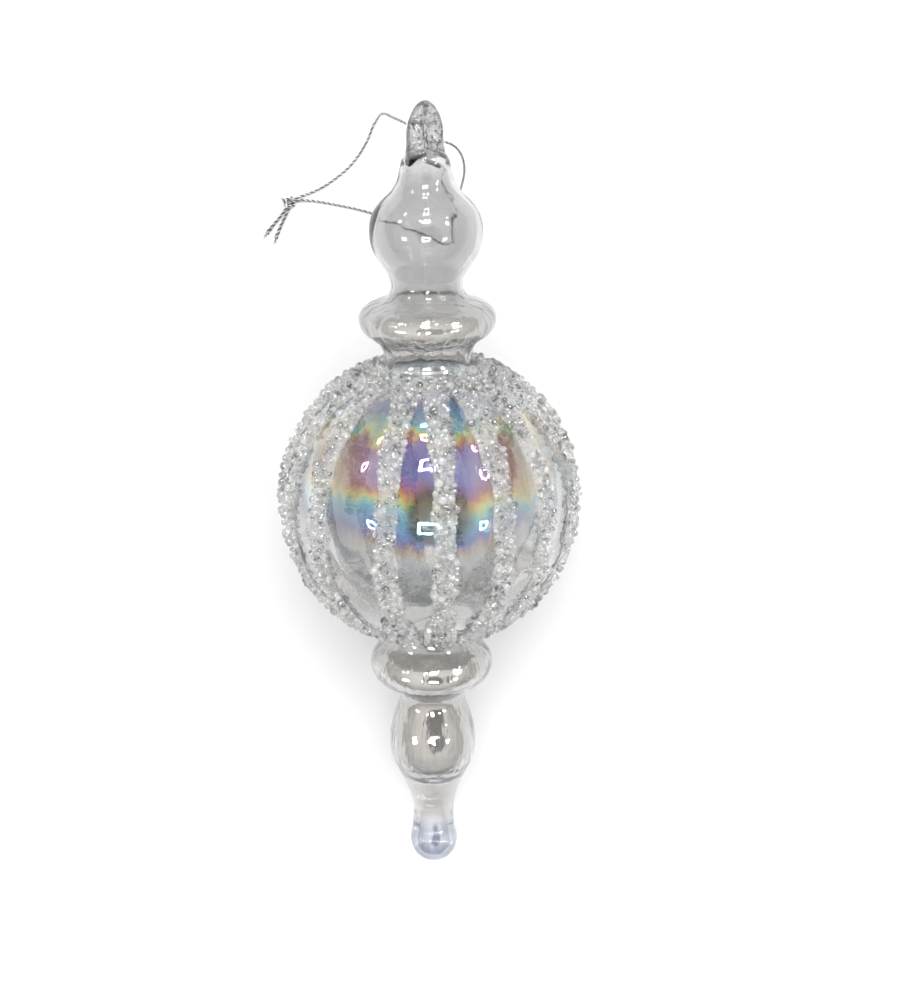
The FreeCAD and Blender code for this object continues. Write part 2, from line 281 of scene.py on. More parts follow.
def lustre_glass():
    """Clear glass with an uneven lustre coat up to the upper collar, thickest above the ball's middle."""
    n = Nodes("iridescent_glass")
    hanging = n.hanging_place()
    axes = n.add("ShaderNodeSeparateXYZ", Vector=hanging)
    height = axes.outputs["Z"]
    streaks = n.noise(n.stretched(hanging, STREAK_STRETCH), 1.0, 3.0)
    clouds = n.noise(hanging, CLOUD_SCALE, 3.0)
    ripple = n.math("MULTIPLY", n.math("SUBTRACT", streaks, 0.5), STREAK_SHIFT)
    drift = n.math("MULTIPLY", n.math("SUBTRACT", clouds, 0.5), CLOUD_SHIFT)
    level = n.math("ADD", height, n.math("ADD", ripple, drift))
    aside = n.math("ABSOLUTE", axes.outputs["X"], 0.0)
    thinner = n.map(aside, THIN_FROM, THIN_TO, 1.0, THIN_SHARE)
    phase = n.math("MULTIPLY", n.by_height(level, FILM_HEIGHTS), thinner)
    facing = n.add("ShaderNodeLayerWeight", Blend=0.5).outputs["Facing"]
    edge_on = n.map(facing, EDGE_FROM, EDGE_TO, 0.0, 1.0)
    present = n.map(height, COAT_END - COAT_FADE, COAT_END, 1.0, 0.0)
    film_share = n.ramp(phase, [(at, (share,) * 3) for at, share in FILM_SHARES])
    depth = n.math("MULTIPLY", film_share, FILM_MOST)
    shown = n.math("MULTIPLY", present, n.math("SUBTRACT", 1.0, edge_on))
    thickness = n.math("MULTIPLY", depth, shown)
    least = n.math("MULTIPLY", n.math("MULTIPLY", present, edge_on), COAT_EDGE)
    coat = n.math("MAXIMUM", n.by_height(height, COAT_SHARES), least)
    tint = n.blend(edge_on, n.ramp(phase, LUSTRE), PALE)
    gloss = n.ramp(phase, GLOSS)
    rough = n.map(clouds, 0.3, 0.7, 0.0, POLISH)
    ripples = n.bump(waves(n, hanging), n.by_height(height, UNEVEN_HEIGHTS), 0.0006)
    glass = n.principled(Base_Color=tint, Roughness=rough, IOR=GLASS_IOR, Transmission_Weight=1.0,
                         Specular_Tint=gloss, Thin_Film_Thickness=thickness, Thin_Film_IOR=FILM_IOR,
                         Normal=ripples)
    mirror = n.principled(Base_Color=n.blend(edge_on, gloss, PALE), Metallic=1.0, Roughness=rough,
                          Normal=ripples)
    mix = n.add("ShaderNodeMixShader", Fac=coat)
    n.tree.links.new(glass.outputs[0], mix.inputs[1])
    n.tree.links.new(mirror.outputs[0], mix.inputs[2])
    return n.show(mix.outputs[0])


def inside_glass():
    """Bare inner face of the hollow, clearest in the ball."""
    n = Nodes("inside_of_glass")
    hanging = n.hanging_place()
    height = n.add("ShaderNodeSeparateXYZ", Vector=hanging).outputs["Z"]
    rough = n.map(n.noise(hanging, 0.09, 2.0), 0.3, 0.7, 0.0, POLISH)
    ripples = n.bump(waves(n, hanging), n.by_height(height, UNEVEN_HEIGHTS), 0.0004)
    glass = n.principled(Base_Color=n.by_height(height, INSIDE_TONES), Roughness=rough, IOR=GLASS_IOR,
                         Transmission_Weight=1.0, Normal=ripples)
    return n.show(glass.outputs[0])


def rod_glass():
    """Speckled and dented clear glass of the eye."""
    n = Nodes("clear_glass")
    place = n.place()
    tone = n.ramp(n.noise(place, 800.0, 2.0), [(0.34, (0.04,) * 3), (0.41, (0.34,) * 3), (0.58, (0.60,) * 3)])
    rough = n.map(n.noise(place, 90.0, 2.0), 0.3, 0.7, 0.0, POLISH)
    dents = n.bump(n.noise(place, 820.0, 2.0), 1.0, 0.0007)
    glass = n.principled(Base_Color=tone, Roughness=rough, IOR=GLASS_IOR, Transmission_Weight=1.0,
                         Normal=dents)
    return n.show(glass.outputs[0])


def bead_glass():
    """Small clear beads, each a little different in tone and polish, with painted sparkle: lighter and darker
    cells within each bead stand in for glints and dark refractions.
    """
    n = Nodes("bead_glass")
    own = n.add("ShaderNodeNewGeometry").outputs["Random Per Island"]
    # painted sparkle: cells of near-white and dark tone inside each bead paint glints and dark refractions
    # into its colour
    sparkle_cells = n.add("ShaderNodeTexVoronoi", Vector=n.place(), Scale=1500.0)
    painted_sparkle = n.add("ShaderNodeSeparateColor", Color=sparkle_cells.outputs["Color"]).outputs["Red"]
    shade = n.math("ADD", n.math("MULTIPLY", own, 0.5), n.math("MULTIPLY", painted_sparkle, 0.5))
    tone = n.ramp(shade, [(0.14, (0.26, 0.26, 0.27)), (0.29, (0.82, 0.83, 0.82)), (0.6, (0.97, 0.97, 0.96)),
                          (0.8, (1.0, 1.0, 0.99))])
    rough = n.map(own, 0.0, 1.0, 0.01, 0.07)
    dents = n.bump(n.noise(n.place(), 900.0, 2.0), 0.35, 0.0002)
    glass = n.principled(Base_Color=tone, Roughness=rough, IOR=1.7, Transmission_Weight=0.82, Normal=dents)
    return n.show(glass.outputs[0])


def dried_glue():
    """Thin clear glue that dried a little cloudy."""
    n = Nodes("clear_glue")
    place = n.place()
    cloud = n.noise(place, 320.0, 3.0)
    tone = n.ramp(cloud, [(0.3, (0.74, 0.74, 0.71)), (0.7, (0.90, 0.90, 0.88))])
    rough = n.map(cloud, 0.3, 0.7, 0.12, 0.35)
    clear = n.map(cloud, 0.3, 0.7, 0.12, 0.32)
    skin = n.bump(n.noise(place, 700.0, 2.0), 0.3, 0.0002)
    glue = n.principled(Base_Color=tone, Roughness=rough, IOR=1.48, Alpha=clear, Normal=skin)
    return n.show(glue.outputs[0])


def metallic_yarn(name, dark, middle, bright, metal):
    """One ply of the thread: foil with darker gaps between its turns."""
    n = Nodes(name)
    place = n.place()
    fleck = n.noise(place, 1900.0, 2.0)
    tone = n.ramp(fleck, [(0.40, (dark,) * 3), (0.5, (middle, middle, middle * 1.06)), (0.60, (bright,) * 3)])
    rough = n.map(fleck, 0.3, 0.7, 0.5, 0.22)
    fibres = n.bump(n.noise(place, 5200.0, 2.0), 0.4, 0.0001)
    foil = n.principled(Base_Color=tone, Metallic=metal, Roughness=rough, Normal=fibres)
    return n.show(foil.outputs[0])


def pale_floor():
    n = Nodes("pale_floor")
    place = n.place()
    tone = n.ramp(n.noise(place, 6.0, 3.0), [(0.3, (0.95, 0.95, 0.95)), (0.7, (0.97, 0.97, 0.97))])
    grain = n.bump(n.noise(place, 900.0, 3.0), 0.05, 0.0002)
    board = n.principled(Base_Color=tone, Roughness=0.7, Normal=grain)
    return n.show(board.outputs[0])


LUSTRE_GLASS = lustre_glass()
INSIDE_GLASS = inside_glass()
EYE_GLASS = rod_glass()
BEAD_GLASS = bead_glass()
DRIED_GLUE = dried_glue()
SILVER_FOIL = metallic_yarn("silver_foil", 0.32, 0.62, 0.88, 0.4)
DARK_FOIL = metallic_yarn("dark_foil", 0.01, 0.03, 0.12, 0.2)


def mesh_object(name, points, faces, materials, nodes, to_row):
    """A smooth piece that stands for some CAD nodes. to_row takes its points to the row frame."""
    mesh = bpy.data.meshes.new(name)
    mesh.from_pydata([tuple(p) for p in points], [], faces)
    mesh.transform(to_row)
    for material in materials:
        mesh.materials.append(material)
    mesh.shade_smooth()
    piece = bpy.data.objects.new(name, mesh)
    bpy.context.scene.collection.objects.link(piece)
    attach(piece, "root")
    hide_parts(*nodes)
    return piece


# Thread

PLY_R = 0.22             # radius of each of the two plies, in mm
PLY_OFFSET = 0.18        # from the thread's middle to a ply's middle
TWIST_PITCH = 1.7        # one full turn of the plies, in mm
TWIST_STEP = 0.12        # between the rings of points along a ply
LOWEST_PLY = 0.24        # height of the middle of a ply that lies on the surface
PLY_SIDES = 6
PLY_UNEVEN = 0.12        # share by which a ply's radius wanders


def route_curve(name, route):
    """The thread's own line: a smooth NURBS curve with the route as its control points, in metres."""
    curve = bpy.data.curves.new(name, "CURVE")
    curve.dimensions = "3D"
    curve.resolution_u = 24
    spline = curve.splines.new("NURBS")
    spline.points.add(len(route) - 1)
    for point, (x, y, z) in zip(spline.points, route):
        point.co = (x * MM, y * MM, z * MM, 1)
    spline.order_u = 3
    spline.use_endpoint_u = True
    return curve


def route_line(name, route):
    """Points of the thread's line, in mm, read from its curve."""
    holder = bpy.data.objects.new(name, route_curve(name, route))
    line = bpy.data.meshes.new_from_object(holder)
    points = [v.co / MM for v in line.vertices]
    bpy.data.objects.remove(holder)
    bpy.data.meshes.remove(line)
    return points


def evenly(points, step):
    """The same line with its points a step apart."""
    lengths = np.cumsum([0] + [(b - a).length for a, b in zip(points, points[1:])])
    stops = np.linspace(0, lengths[-1], max(2, round(lengths[-1] / step)))
    columns = [np.interp(stops, lengths, [p[axis] for p in points]) for axis in range(3)]
    return [Vector(p) for p in zip(*columns)], stops


def carried_frames(points, start_side):
    """(point, side, other side) along a line, turned as little as the line allows."""
    side = start_side
    frames = []
    for index, point in enumerate(points):
        ahead = (points[min(index + 1, len(points) - 1)] - points[max(index - 1, 0)]).normalized()
        side = (side - ahead * side.dot(ahead)).normalized()
        frames.append((point, side, ahead.cross(side)))
    return frames


def tube(points, radii, sides, start_side):
    """Points and faces of a closed round tube along a line."""
    verts = []
    faces = []
    for (point, side, other), radius in zip(carried_frames(points, start_side), radii):
        for k in range(sides):
            turn = 2 * math.pi * k / sides
            verts.append(point + (side * math.cos(turn) + other * math.sin(turn)) * radius)
    for ring in range(len(points) - 1):
        for k in range(sides):
            here, after = ring * sides + k, ring * sides + (k + 1) % sides
            faces.append((here, after, after + sides, here + sides))
    last = (len(points) - 1) * sides
    faces.append(tuple(reversed(range(sides))))
    faces.append(tuple(range(last, last + sides)))
    return verts, faces


def join(parts):
    """One list of points and one of faces from several (points, faces) pairs."""
    verts = []
    faces = []
    for part_verts, part_faces in parts:
        start = len(verts)
        verts.extend(part_verts)
        faces.extend(tuple(i + start for i in face) for face in part_faces)
    return verts, faces


def twisted(points, start_side, start_turn=0.0, opening=0.0):
    """Two plies laid round each other along a line, which may come apart towards its end."""
    line, stops = evenly(points, TWIST_STEP)
    frames = carried_frames(line, start_side)
    plies = []
    for ply in range(2):
        path = []
        for (point, side, other), stop in zip(frames, stops):
            turn = start_turn + 2 * math.pi * stop / TWIST_PITCH + math.pi * ply
            apart = PLY_OFFSET * (1 + opening * (stop / stops[-1]) ** 2)
            path.append(point + (side * math.cos(turn) + other * math.sin(turn)) * apart)
        for p in path:
            p.z = max(p.z, LOWEST_PLY)
        radii = [PLY_R * (1 + PLY_UNEVEN * noise.noise(p * 1.1)) for p in path]
        plies.append(tube(path, radii, PLY_SIDES, start_side))
    return plies


TO_METRES = Matrix.Scale(MM, 4)


def in_metres(points):
    return [TO_METRES @ p for p in points]


FRAY_SIDE = Vector((0.6, 0.8, 0.0))
FRAY_COUNT = 14
FRAY_LOWEST = 0.12       # height of the lowest tip of a fibre, in mm


def frayed_end(end, ahead, rng):
    """Loose fibres that splay from a cut end of thread."""
    wisps = []
    for _ in range(FRAY_COUNT):
        reach = rng.uniform(0.6, 1.8)
        lean = Vector((rng.uniform(-0.7, 0.7), rng.uniform(-0.7, 0.7), rng.uniform(-0.12, 0.25)))
        middle = end + (ahead + lean * 0.4) * reach * 0.5
        tip = end + (ahead + lean) * reach
        tip.z = max(tip.z, FRAY_LOWEST)
        points, _ = evenly([end - ahead * 0.4, end, middle, tip], 0.25)
        radii = np.linspace(0.075, 0.03, len(points))
        wisps.append(tube(points, radii, 4, FRAY_SIDE))
    return wisps


KNOT_SPAN = 2.05         # reach of the parameter of the knot's own curve, either way from its middle
KNOT_SIZE = Vector((0.66, 0.48, 0.11))


def knot_line(offset):
    """An overhand knot pulled small, beside the middle line by an offset, from the throat to the tails."""
    body = Vector(KNOT_BODY)
    back = (Vector(KNOT_THROAT) - body).normalized()
    across = Vector((-back.y, back.x, 0))
    points = []
    for t in np.linspace(-KNOT_SPAN, KNOT_SPAN, 60):
        along = (t ** 3 - 3 * t) * KNOT_SIZE.x
        side = (t ** 4 - 4 * t ** 2 + 2) * KNOT_SIZE.y
        up = (t ** 5 - 10 * t) * KNOT_SIZE.z
        points.append(body - back * along + across * (side + offset) + Vector((0, 0, up)))
    for point in points:
        point.z = max(point.z, THREAD_D / 2)
    return points


TAIL_OPENING = 1.8       # how far the plies of a tail come apart at its cut end
KNOT_STRANDS = (-0.36, 0.36)     # the two strands that are tied together, either side of the middle


def yarn_object(name, tubes, node):
    """Piece of thread from tubes that are silver and dark by turns."""
    verts, faces = join(tubes)
    piece = mesh_object(name, verts, faces, [SILVER_FOIL, DARK_FOIL], [node], TO_METRES)
    indices = [number % 2 for number, (_, tube_faces) in enumerate(tubes) for _ in tube_faces]
    piece.data.polygons.foreach_set("material_index", indices)
    return piece


def thread_pieces():
    """The loop's two halves and the knot with its frayed tails."""
    rng = random.Random(5)
    left_line = route_line("thread_left", LEFT_ROUTE)
    right_line = route_line("thread_right", RIGHT_ROUTE)
    side = (left_line[1] - left_line[0]).cross(Vector((1, 0, 0))).normalized()

    left = yarn_object("thread_left", twisted(left_line, side), "thread_left_half")
    right = yarn_object("thread_right", twisted(right_line, side), "thread_right_half")
    up = Vector((0, 0, 1))
    tubes = []
    for offset in KNOT_STRANDS:
        tubes += twisted(knot_line(offset), up, offset)
    for line, tail in ((left_line, LEFT_TAIL), (right_line, RIGHT_TAIL)):
        tail_line = route_line("tail", tail)
        tubes += twisted([line[-1], Vector(KNOT_BODY)], up)
        tubes += twisted([Vector(KNOT_BODY)] + tail_line, up, 0.0, TAIL_OPENING)
        tubes += frayed_end(tail_line[-1], (tail_line[-1] - tail_line[-2]).normalized(), rng)
    knot = yarn_object("thread_knot_tied", tubes, "thread_knot")
    top = Vector(LEFT_ROUTE[0]) * MM
    for piece, line, length in ((left, left_line, 0.138), (right, right_line, 0.1425)):
        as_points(in_metres(line))


thread_pieces()


# Glass of revolution

def on_circle(radius, centre_z, angle):
    """Station on a circle about the axis point at centre_z, at a polar angle in degrees."""
    a = math.radians(angle)
    return (radius * math.sin(a), centre_z + radius * math.cos(a))


def down_circle(angle):
    """Direction of a circle about the axis at a polar angle, in degrees, heading down."""
    a = math.radians(angle)
    return (math.cos(a), -math.sin(a))


def smooth(stations, start, end):
    """Points a step apart on the cubic spline through stations, with its directions at both ends."""
    p = np.array(stations, float)
    h = np.hypot(*np.diff(p, axis=0).T)
    count = len(p)
    matrix = np.eye(count)
    slopes = np.zeros((count, 2))
    slopes[0], slopes[-1] = start, end
    for i in range(1, count - 1):
        before, after = h[i - 1], h[i]
        matrix[i, i - 1:i + 2] = after, 2 * (before + after), before
        slopes[i] = 3 * (after * (p[i] - p[i - 1]) / before + before * (p[i + 1] - p[i]) / after)
    m = np.linalg.solve(matrix, slopes)
    points = [tuple(p[0])]
    for i, length in enumerate(h):
        for t in np.linspace(0, 1, max(2, round(length / OUTLINE_STEP) + 1))[1:]:
            at = ((2 * t ** 3 - 3 * t ** 2 + 1) * p[i] + (t ** 3 - 2 * t ** 2 + t) * length * m[i]
                  + (3 * t ** 2 - 2 * t ** 3) * p[i + 1] + (t ** 3 - t ** 2) * length * m[i + 1])
            points.append(tuple(at))
    return points


def round_stretch(radius, centre_z, start, end):
    """Points a step apart on a circle about the axis, from one polar angle to another, in degrees."""
    steps = max(2, round(math.radians(end - start) * radius / OUTLINE_STEP))
    return [on_circle(radius, centre_z, a) for a in np.linspace(start, end, steps)[1:]]


def inset(stations, wall):
    """Stations moved square to the profile into the glass, without the two end ones."""
    inner = []
    for before, here, after in zip(stations, stations[1:], stations[2:]):
        dr = after[0] - before[0]
        dz = after[1] - before[1]
        length = math.hypot(dr, dz)
        inner.append((here[0] + wall * dz / length, here[1] - wall * dr / length))
    return inner


def outside_outline():
    neck = on_circle(BALL_R, 0, NECK_ANGLE)
    lower_neck = on_circle(BALL_R, 0, 180 - NECK_ANGLE)
    waist_end = on_circle(KNOB_R, KNOB_Z, KNOB_ANGLE)
    points = smooth(UPPER_STATIONS + [neck], (1, 0), down_circle(NECK_ANGLE))
    points += round_stretch(BALL_R, 0, NECK_ANGLE, 180 - NECK_ANGLE)
    points += smooth([lower_neck] + LOWER_STATIONS + [waist_end],
                     down_circle(180 - NECK_ANGLE), down_circle(KNOB_ANGLE))[1:]
    return points + round_stretch(KNOB_R, KNOB_Z, KNOB_ANGLE, 180)


def cavity_outline():
    radius = BALL_R - WALL
    neck = on_circle(BALL_R, 0, NECK_ANGLE)
    lower_neck = on_circle(BALL_R, 0, 180 - NECK_ANGLE)
    stations = [s for s in inset(UPPER_STATIONS + [neck], WALL) if s[1] < CAVITY_TOP - 2]
    points = smooth([(0, CAVITY_TOP)] + stations + [on_circle(radius, 0, NECK_ANGLE)],
                    (1, 0), down_circle(NECK_ANGLE))
    points += round_stretch(radius, 0, NECK_ANGLE, 180 - NECK_ANGLE)
    stations = [s for s in inset([lower_neck] + LOWER_STATIONS, LOWER_WALL) if s[1] > CAVITY_BOTTOM + 4]
    return points + smooth([on_circle(radius, 0, 180 - NECK_ANGLE)] + stations + [(0, CAVITY_BOTTOM)],
                           down_circle(180 - NECK_ANGLE), (-1, 0))[1:]


def turned(outline, waver, seed, inward):
    """Points and faces of an outline turned about the axis, with the uneven surface of blown glass."""
    verts = [Vector((0, 0, outline[0][1]))]
    for index in range(1, len(outline) - 1):
        (r0, z0), (r, z), (r1, z1) = outline[index - 1:index + 2]
        along = Vector((r1 - r0, z1 - z0)).normalized()
        for k in range(AROUND):
            a = 2 * math.pi * k / AROUND
            out = Vector((math.cos(a), math.sin(a), 0))
            spot = out * r + Vector((0, 0, z))
            lump = noise.noise(Vector((spot.x * 0.09, spot.y * 0.09, spot.z * 0.05 + seed)))
            lump += 0.35 * noise.noise(Vector((spot.x * 0.3, spot.y * 0.3, spot.z * 0.1 + 2 * seed)))
            fade = min(1.0, r / 6.0)
            verts.append(spot + (out * -along.y + Vector((0, 0, along.x))) * lump * waver * fade)
    verts.append(Vector((0, 0, outline[-1][1])))
    rows = len(outline) - 2
    faces = []
    for k in range(AROUND):
        after = (k + 1) % AROUND
        faces.append((0, 1 + k, 1 + after))
        for row in range(rows - 1):
            here = 1 + row * AROUND
            faces.append((here + k, here + AROUND + k, here + AROUND + after, here + after))
        bottom = 1 + (rows - 1) * AROUND
        faces.append((bottom + k, len(verts) - 1, bottom + after))
    if inward:
        faces = [tuple(reversed(face)) for face in faces]
    return verts, faces


OUTER_WAVER, INNER_WAVER = 0.16, 0.20    # how far the blown faces wander from the outline, in mm
OUTSIDE = outside_outline()


def glass_body():
    """Blown glass: an outer face with the lustre coat and a plain face round the sealed hollow."""
    outer = turned(OUTSIDE, OUTER_WAVER, 1.7, False)
    inner = turned(cavity_outline(), INNER_WAVER, 9.3, True)
    verts, faces = join([outer, inner])
    piece = mesh_object("blown_glass_body", verts, faces, [LUSTRE_GLASS, INSIDE_GLASS],
                        ["glass_body"], LAY)
    coated = len(outer[1])
    indices = np.ones(len(faces), int)
    indices[:coated] = 0
    piece.data.polygons.foreach_set("material_index", indices)
    return piece


glass_body()


# Hanging eye

EYE_SIDES = 40
EYE_GAP = 0.02           # between the eye's feet and the glass they are melted on to
MELT_FROM, MELT_REACH = 99.5, 4.5        # height where the feet flare most, and where the flare ends over it
MELT_FLARE = 0.75
SHOULDER = [(r, z) for r, z in OUTSIDE if z > 93]


def shoulder_height(x, y):
    """Height of the glass under the eye at a place beside the axis."""
    r = math.hypot(x, y)
    return float(np.interp(r, [s[0] for s in SHOULDER], [s[1] for s in SHOULDER]))


def hanging_eye():
    """Pointed loop of glass rod whose feet flare where they are melted on to the shoulder."""
    turn = math.radians(EYE_TURN)
    half = EYE_SPAN / 2
    bend_z = EYE_TOP - EYE_ROD / 2 - EYE_ARCH
    side = Vector((math.cos(turn), math.sin(turn), 0))
    leg = [Vector((0, 0, z)) for z in np.linspace(100.5, bend_z, 9)[:-1]]
    bend = []
    for a in np.linspace(0, math.pi, 41):
        rise = EYE_ARCH * math.sin(a) + EYE_POINT * math.sin(a) ** 4
        bend.append(Vector((0, 0, bend_z + rise)) - side * half * math.cos(a))
    path = [p - side * half for p in leg] + bend + [p + side * half for p in reversed(leg)]
    radii = []
    for p in path:
        melt = max(0.0, 1 - (p.z - MELT_FROM) / MELT_REACH)
        taper = max(0.0, p.z - bend_z) / EYE_ARCH * EYE_TAPER
        radii.append(EYE_ROD / 2 + MELT_FLARE * melt ** 2 - taper + 0.06 * noise.noise(p * 0.4))
    verts, faces = tube(path, radii, EYE_SIDES, Vector((side.y, -side.x, 0)))
    faces = faces[:-2]
    rings = len(path)
    for ring in (0, rings - 1):
        faces += foot(verts, ring * EYE_SIDES, ring == 0)
    return mesh_object("glass_eye", verts, faces, [EYE_GLASS], ["hanging_eye"], LAY)


def foot(verts, start, first):
    """Lowers an end ring of the eye on to the shoulder and closes it with rings that follow the glass."""
    middle = sum((verts[start + k] for k in range(EYE_SIDES)), Vector()) / EYE_SIDES
    rings = [start]
    for share in (0.75, 0.5, 0.25):
        rings.append(len(verts))
        verts.extend(middle.lerp(verts[start + k], share) for k in range(EYE_SIDES))
    verts.append(middle.copy())
    for base in rings:
        for k in range(EYE_SIDES):
            v = verts[base + k]
            v.z = shoulder_height(v.x, v.y) + EYE_GAP
    verts[-1].z = shoulder_height(middle.x, middle.y) + EYE_GAP
    faces = []
    for k in range(EYE_SIDES):
        after = (k + 1) % EYE_SIDES
        for outer, inner in zip(rings, rings[1:]):
            faces.append((outer + k, inner + k, inner + after, outer + after))
        faces.append((rings[-1] + k, len(verts) - 1, rings[-1] + after))
    return faces if first else [tuple(reversed(face)) for face in faces]


hanging_eye()


# Glue lines and beads

BAND_SWAY = 0.45         # a band wanders this far sideways, in mm
BAND_RAGGED = 0.16       # and its width changes by this share
TOP_FLARE = 0.30         # it is this much wider where it meets the top ring
BOTTOM_FLARE = 0.65      # and the bottom ring
FLARE_FROM = 0.5         # share of the way from the middle to a ring where it starts to widen
BAND_REACH = math.asin(RING_Z / BALL_R)
RING_INNER = math.asin(RING_HOLE_R / BALL_R)
RING_OUTER = math.acos(RING_Z / BALL_R)


def band_place(angle, seed):
    """How one band lies: along 0 to 1, across -1 to 1 and a height over the glass give a point."""
    turn = math.radians(angle)
    face = Vector((math.sin(turn), -math.cos(turn), 0))
    aside = Vector((math.cos(turn), math.sin(turn), 0))

    def place(along, across, height):
        latitude = (2 * along - 1) * BAND_REACH
        sway = BAND_SWAY * noise.noise(Vector((along * 9, seed, 0)))
        flare = max(0.0, abs(2 * along - 1) - FLARE_FROM) / (1 - FLARE_FROM)
        flare *= TOP_FLARE if along > 0.5 else BOTTOM_FLARE
        width = BAND_W / 2 * (1 + flare + BAND_RAGGED * 2 * noise.noise(Vector((along * 13, seed, 5))))
        out = face * math.cos(latitude) + Vector((0, 0, math.sin(latitude)))
        spot = out * BALL_R + aside * (sway + across * width)
        return spot.normalized() * (BALL_R + height)

    return place


def ring_place(side, seed):
    """How the ring of beads round one neck lies, in the same way, closed along its turn."""
    def place(along, across, height):
        turn = 2 * math.pi * along
        wobble = noise.noise(Vector((math.cos(turn) * 2, math.sin(turn) * 2, seed)))
        middle = (RING_INNER + RING_OUTER) / 2 + 0.012 * wobble
        polar = middle + across * (RING_OUTER - RING_INNER) / 2
        out = Vector((math.sin(polar) * math.cos(turn), math.sin(polar) * math.sin(turn),
                      side * math.cos(polar)))
        return out * (BALL_R + height)

    return place


def glue_strip(name, place, rows, columns, closed, nodes):
    """Low domed strip of glue with uneven edges."""
    top = []
    bottom = []
    for row in range(rows):
        along = row / (rows if closed else rows - 1)
        for column in range(columns):
            across = 2 * column / (columns - 1) - 1
            dome = math.sqrt(max(0.0, 1 - across ** 4))
            if not closed:
                dome *= min(1.0, 12 * along, 12 * (1 - along)) ** 0.5
            spot = place(along, across * 0.96, 0)
            lump = 0.8 + 0.35 * noise.noise(spot * 0.45)
            top.append(place(along, across * 0.96, 0.06 + GLUE * dome * lump))
            bottom.append(place(along, across * 0.96, 0.03))
    verts = top + bottom
    shift = len(top)
    faces = []
    for row in range(rows if closed else rows - 1):
        here, after = row * columns, (row + 1) % rows * columns
        for c in range(columns - 1):
            faces.append((here + c, after + c, after + c + 1, here + c + 1))
            faces.append((shift + here + c, shift + here + c + 1, shift + after + c + 1, shift + after + c))
        faces.append((here, shift + here, shift + after, after))
        edge = columns - 1
        faces.append((here + edge, after + edge, shift + after + edge, shift + here + edge))
    if not closed:
        last = (rows - 1) * columns
        for c in range(columns - 1):
            faces.append((c, c + 1, shift + c + 1, shift + c))
            faces.append((last + c, shift + last + c, shift + last + c + 1, last + c + 1))
    return mesh_object(name, verts, faces, [DRIED_GLUE], nodes, LAY)


def ball_shape(subdivisions):
    """Points and faces of a unit ball made of small triangles."""
    bm = bmesh.new()
    bmesh.ops.create_icosphere(bm, subdivisions=subdivisions, radius=1.0)
    points = np.array([v.co[:] for v in bm.verts])
    faces = np.array([[v.index for v in f.verts] for f in bm.faces])
    bm.free()
    return points, faces


GRAIN = ball_shape(1)
SMALL_BALL = ball_shape(2)
LARGE_BALL = ball_shape(3)
BEAD_SIZES = [(0.60, 0.30, 0.46), (0.33, 0.55, 0.95), (0.07, 1.00, 1.30)]   # share, least and most radius
PACKED_SHARE = 0.76      # of the crust's area that beads cover
PILED_SHARE = 0.30       # of the beads, again, in a second layer
LEAST_BEAD = 0.28
GRAIN_MOST = 0.5         # beads up to this radius are cut grains with flat faces
RELAX_STEPS = 40
PILED_SIZES = (0.32, 0.75)       # radii in the second layer
PILED_LIFT = (0.3, 1.1)          # and how far it sits above the first


def bead_radius(rng):
    pick = rng.random()
    for share, least, most in BEAD_SIZES:
        if pick < share:
            return rng.uniform(least, most)
        pick -= share
    return BEAD_SIZES[0][1]


def spread(length, width, closed, rng):
    """Places and radii of beads on a flat strip, pushed apart until they hardly overlap."""
    radii = []
    covered = 0.0
    while covered < PACKED_SHARE * length * width:
        radii.append(bead_radius(rng))
        covered += math.pi * radii[-1] ** 2
    r = np.array(radii)
    p = np.array([(rng.uniform(0, length), rng.uniform(-width / 2, width / 2)) for _ in radii])
    for _ in range(RELAX_STEPS):
        gap = p[:, None] - p[None]
        if closed:
            gap[..., 0] -= length * np.round(gap[..., 0] / length)
        apart = np.hypot(gap[..., 0], gap[..., 1]) + np.eye(len(p))
        push = np.clip((r[:, None] + r[None]) - apart, 0, None) / apart * 0.45
        np.fill_diagonal(push, 0)
        p += (gap * push[..., None]).sum(1)
        if not closed:
            p[:, 0] = np.clip(p[:, 0], 0.4, length - 0.4)
        p[:, 1] = np.clip(p[:, 1], -width / 2 + 0.4, width / 2 - 0.4)
    return p, r


def clear_of_floor(place, along, across, lift, r):
    """Centre of a bead on the glue, and its radius, cut down where the ball rests close to the floor."""
    while r > LEAST_BEAD:
        centre = place(along, across, GLUE * 0.5 + r * 0.94 + lift)
        if (LAY @ centre).z > r * 1.1 * MM:
            return centre, r
        r *= 0.92
    return centre, 0.0


def beads(name, place, length, width, closed, node, seed):
    """Crust of glued beads of mixed sizes, with some more piled on it."""
    rng = random.Random(seed)
    spots, radii = spread(length, width, closed, rng)
    chosen = [(s[0] / length, s[1] / (width / 2), 0.0, r) for s, r in zip(spots, radii)]
    for _ in range(round(len(radii) * PILED_SHARE)):
        r = rng.uniform(*PILED_SIZES)
        chosen.append((rng.betavariate(0.6, 0.6), rng.uniform(-0.9, 0.9), rng.uniform(*PILED_LIFT), r))
    all_points = []
    all_faces = []
    rounded = []
    count = 0
    for along, across, lift, r in chosen:
        centre, r = clear_of_floor(place, along, across, lift, r)
        if r < LEAST_BEAD:
            continue
        shape, faces = LARGE_BALL if r > 1.1 else SMALL_BALL if r > GRAIN_MOST else GRAIN
        turn = np.array(Matrix.Rotation(rng.uniform(0, 6.28), 3, Vector((rng.random(), rng.random(), 1))))
        squash = np.array([rng.uniform(0.9, 1.08) for _ in range(3)])
        all_points.append((shape * squash * r) @ turn.T + centre)
        all_faces.append(faces + count)
        rounded += [bool(r > GRAIN_MOST)] * len(faces)
        count += len(shape)
    verts = np.concatenate(all_points)
    faces = [tuple(f) for block in all_faces for f in block.tolist()]
    piece = mesh_object(name, verts, faces, [BEAD_GLASS], [node], LAY)
    piece.data.polygons.foreach_set("use_smooth", rounded)
    return piece


